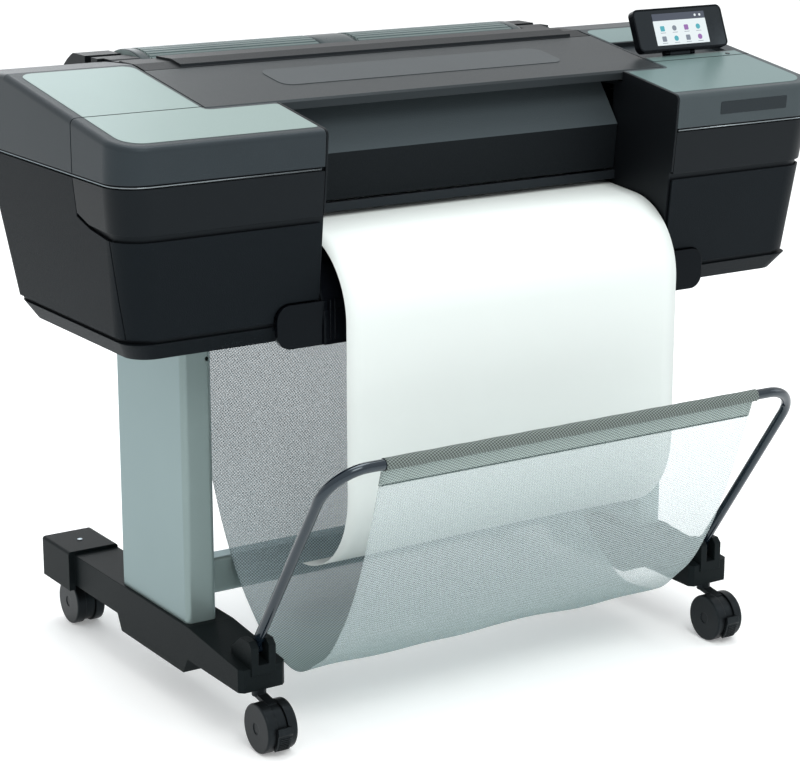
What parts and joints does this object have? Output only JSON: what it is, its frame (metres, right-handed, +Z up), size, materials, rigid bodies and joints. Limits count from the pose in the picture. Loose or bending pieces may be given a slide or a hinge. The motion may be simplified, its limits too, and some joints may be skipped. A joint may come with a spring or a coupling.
{
  "type": "large format plotter",
  "caption": "Wide roll-fed colour plotter on a wheeled stand, with two side boxes, a tilting touch screen, a roll cover and a see-through mesh paper bin.",
  "frame": {"origin": "on the floor, below the middle of the whole machine's bounding box", "axes": "+Z up, +X to the operator's right, the operator stands on the -Y side"},
  "size_m": [1.262, 0.864, 1.0135],
  "materials": {
    "charcoal_plastic": "fine-textured charcoal moulding",
    "housing_plastic": "plain black moulding",
    "lid_plastic": "fine-textured charcoal moulding with pale inset panels on top",
    "black_gloss_plastic": "smooth near-black plastic",
    "screen_glass": "black cover glass over a lit touch screen",
    "button_plastic": "small smooth button",
    "column_paint": "silver-grey powder-coated sheet steel",
    "foot_plastic": "satin near-black",
    "caster_plastic": "black nylon",
    "wheel_tread": "black rolling surface",
    "bar_paint": "glossy black tube",
    "bin_mesh": "see-through woven mesh with sewn hems",
    "paper": "smooth white paper",
    "cover_plastic": "ribbed grey-green cover",
    "steel": "plain zinc-plated steel",
    "pulley_metal": "turned aluminium",
    "belt_rubber": "black timing belt",
    "spindle_plastic": "black moulded plastic"
  },
  "bodies": {
    "frame": {"left_foot": "foot_plastic", "left_column": "column_paint", "left_bin_bracket": "foot_plastic", "left_housing": "housing_plastic", "left_side_panel": "charcoal_plastic", "left_rear_top": "lid_plastic", "left_ink_cartridges": "spindle_plastic", "right_foot": "foot_plastic", "right_column": "column_paint", "right_bin_bracket": "foot_plastic", "right_housing": "housing_plastic", "right_side_panel": "charcoal_plastic", "right_rear_top": "lid_plastic", "right_ink_cartridges": "spindle_plastic", "crossbar": "column_paint", "stand_screws": "steel", "bin_rear_rod": "bar_paint", "bin_rear_mesh": "bin_mesh", "base_tray": "charcoal_plastic", "output_apron": "black_gloss_plastic", "platen": "housing_plastic", "carriage_rail": "steel", "carriage_belt": "belt_rubber", "service_station": "housing_plastic", "roll_housing": "housing_plastic", "paper_sheet": "paper", "top_cover": "charcoal_plastic", "exit_guide": "charcoal_plastic", "rear_panel": "charcoal_plastic", "power_inlet": "black_gloss_plastic"},
    "front_left_swivel": {"front_left_caster": "caster_plastic"},
    "front_left_wheel_pair": {"front_left_wheels": "wheel_tread"},
    "front_right_swivel": {"front_right_caster": "caster_plastic"},
    "front_right_wheel_pair": {"front_right_wheels": "wheel_tread"},
    "rear_left_swivel": {"rear_left_caster": "caster_plastic"},
    "rear_left_wheel_pair": {"rear_left_wheels": "wheel_tread"},
    "rear_right_swivel": {"rear_right_caster": "caster_plastic"},
    "rear_right_wheel_pair": {"rear_right_wheels": "wheel_tread"},
    "left_brake": {"left_brake_lever": "caster_plastic"},
    "right_brake": {"right_brake_lever": "caster_plastic"},
    "bin_bar_body": {"bin_bar": "bar_paint", "bin_front_mesh": "bin_mesh"},
    "left_lid_body": {"left_lid": "lid_plastic"},
    "left_ink_door_body": {"left_ink_door": "charcoal_plastic"},
    "right_lid_body": {"right_lid": "lid_plastic"},
    "right_ink_door_body": {"right_ink_door": "charcoal_plastic"},
    "window": {"window_door": "black_gloss_plastic"},
    "roll_cover_body": {"roll_cover": "cover_plastic"},
    "display_body": {"display": "black_gloss_plastic", "display_glass": "screen_glass"},
    "button": {"power_button": "button_plastic"},
    "roll_spindle": {"spindle": "spindle_plastic", "paper_roll": "paper"},
    "feed_roller": {"drive_roller": "wheel_tread"},
    "pinch_shaft": {"pinch_rollers": "wheel_tread"},
    "carriage_body": {"carriage": "housing_plastic", "printheads": "spindle_plastic"},
    "motor_pulley_body": {"motor_pulley": "pulley_metal"},
    "idler_pulley_body": {"idler_pulley": "pulley_metal"}
  },
  "joints": [
    {"name": "front_left_swivel_turn", "type": "hinge", "parent": "frame", "child": "front_left_swivel", "pos_m": [-0.4245, -0.216, 0.1], "axis": [0, 0, 1], "continuous": true},
    {"name": "front_left_wheel_roll", "type": "hinge", "parent": "front_left_swivel", "child": "front_left_wheel_pair", "pos_m": [-0.4245, -0.25, 0.038], "axis": [1, 0, 0], "continuous": true},
    {"name": "front_right_swivel_turn", "type": "hinge", "parent": "frame", "child": "front_right_swivel", "pos_m": [0.4245, -0.216, 0.1], "axis": [0, 0, 1], "continuous": true},
    {"name": "front_right_wheel_roll", "type": "hinge", "parent": "front_right_swivel", "child": "front_right_wheel_pair", "pos_m": [0.4245, -0.25, 0.038], "axis": [1, 0, 0], "continuous": true},
    {"name": "rear_left_swivel_turn", "type": "hinge", "parent": "frame", "child": "rear_left_swivel", "pos_m": [-0.4245, 0.358, 0.1], "axis": [0, 0, 1], "continuous": true},
    {"name": "rear_left_wheel_roll", "type": "hinge", "parent": "rear_left_swivel", "child": "rear_left_wheel_pair", "pos_m": [-0.4245, 0.392, 0.038], "axis": [1, 0, 0], "continuous": true},
    {"name": "rear_right_swivel_turn", "type": "hinge", "parent": "frame", "child": "rear_right_swivel", "pos_m": [0.4245, 0.358, 0.1], "axis": [0, 0, 1], "continuous": true},
    {"name": "rear_right_wheel_roll", "type": "hinge", "parent": "rear_right_swivel", "child": "rear_right_wheel_pair", "pos_m": [0.4245, 0.392, 0.038], "axis": [1, 0, 0], "continuous": true},
    {"name": "left_brake_press", "type": "hinge", "parent": "front_left_swivel", "child": "left_brake", "pos_m": [-0.4245, -0.25, 0.038], "axis": [1, 0, 0], "range_deg": [0, 12]},
    {"name": "right_brake_press", "type": "hinge", "parent": "front_right_swivel", "child": "right_brake", "pos_m": [0.4245, -0.25, 0.038], "axis": [1, 0, 0], "range_deg": [0, 12]},
    {"name": "bin_bar_fold", "type": "hinge", "parent": "frame", "child": "bin_bar_body", "pos_m": [0, -0.206, 0.146], "axis": [-1, 0, 0], "range_deg": [0, 20]},
    {"name": "left_lid_open", "type": "hinge", "parent": "frame", "child": "left_lid_body", "pos_m": [-0.53, -0.0763, 0.92813], "axis": [-1, 0, 0], "range_deg": [0, 75]},
    {"name": "left_ink_door_open", "type": "hinge", "parent": "frame", "child": "left_ink_door_body", "pos_m": [-0.5, -0.1953, 0.6306], "axis": [1, 0, 0], "range_deg": [0, 85]},
    {"name": "right_lid_open", "type": "hinge", "parent": "frame", "child": "right_lid_body", "pos_m": [0.53, -0.0523, 0.93202], "axis": [-1, 0, 0], "range_deg": [0, 75]},
    {"name": "right_ink_door_open", "type": "hinge", "parent": "frame", "child": "right_ink_door_body", "pos_m": [0.5, -0.1953, 0.6306], "axis": [1, 0, 0], "range_deg": [0, 85]},
    {"name": "window_lift", "type": "hinge", "parent": "frame", "child": "window", "pos_m": [0.0145, -0.024, 0.914], "axis": [-1, 0, 0], "range_deg": [0, 42]},
    {"name": "roll_cover_open", "type": "hinge", "parent": "frame", "child": "roll_cover_body", "pos_m": [0, 0.285, 0.838], "axis": [-1, 0, 0], "range_deg": [0, 90]},
    {"name": "display_tilt", "type": "hinge", "parent": "frame", "child": "display_body", "pos_m": [0.501, -0.01645, 0.93973], "axis": [-1, 0, 0], "range_deg": [-8, 60]},
    {"name": "power_button_press", "type": "slide", "parent": "frame", "child": "button", "axis": [0, 0.1597, -0.9872], "range_m": [0, 0.0012], "stiffness_N_per_m": 300},
    {"name": "spindle_turn", "type": "hinge", "parent": "frame", "child": "roll_spindle", "pos_m": [0, 0.285, 0.838], "axis": [1, 0, 0], "continuous": true},
    {"name": "feed_roller_turn", "type": "hinge", "parent": "frame", "child": "feed_roller", "pos_m": [0.0145, 0.08, 0.7438], "axis": [1, 0, 0], "continuous": true},
    {"name": "pinch_rollers_turn", "type": "hinge", "parent": "frame", "child": "pinch_shaft", "pos_m": [0.0145, 0.08, 0.76509], "axis": [1, 0, 0], "continuous": true},
    {"name": "carriage_travel", "type": "slide", "parent": "frame", "child": "carriage_body", "axis": [-1, 0, 0], "range_m": [0, 0.93]},
    {"name": "motor_pulley_turn", "type": "hinge", "parent": "frame", "child": "motor_pulley_body", "pos_m": [0.58, 0.064, 0.866], "axis": [0, 1, 0], "range_deg": [-5, 5629]},
    {"name": "idler_pulley_turn", "type": "hinge", "parent": "frame", "child": "idler_pulley_body", "pos_m": [-0.58, 0.064, 0.866], "axis": [0, 1, 0], "range_deg": [-5, 5629]}
  ],
  "couplings": [
    {"joint": "pinch_rollers_turn", "follows": "feed_roller_turn", "ratio": -2.3333},
    {"joint": "motor_pulley_turn", "follows": "carriage_travel", "rad_per_m": 105.26},
    {"joint": "idler_pulley_turn", "follows": "carriage_travel", "rad_per_m": 105.26}
  ]
}
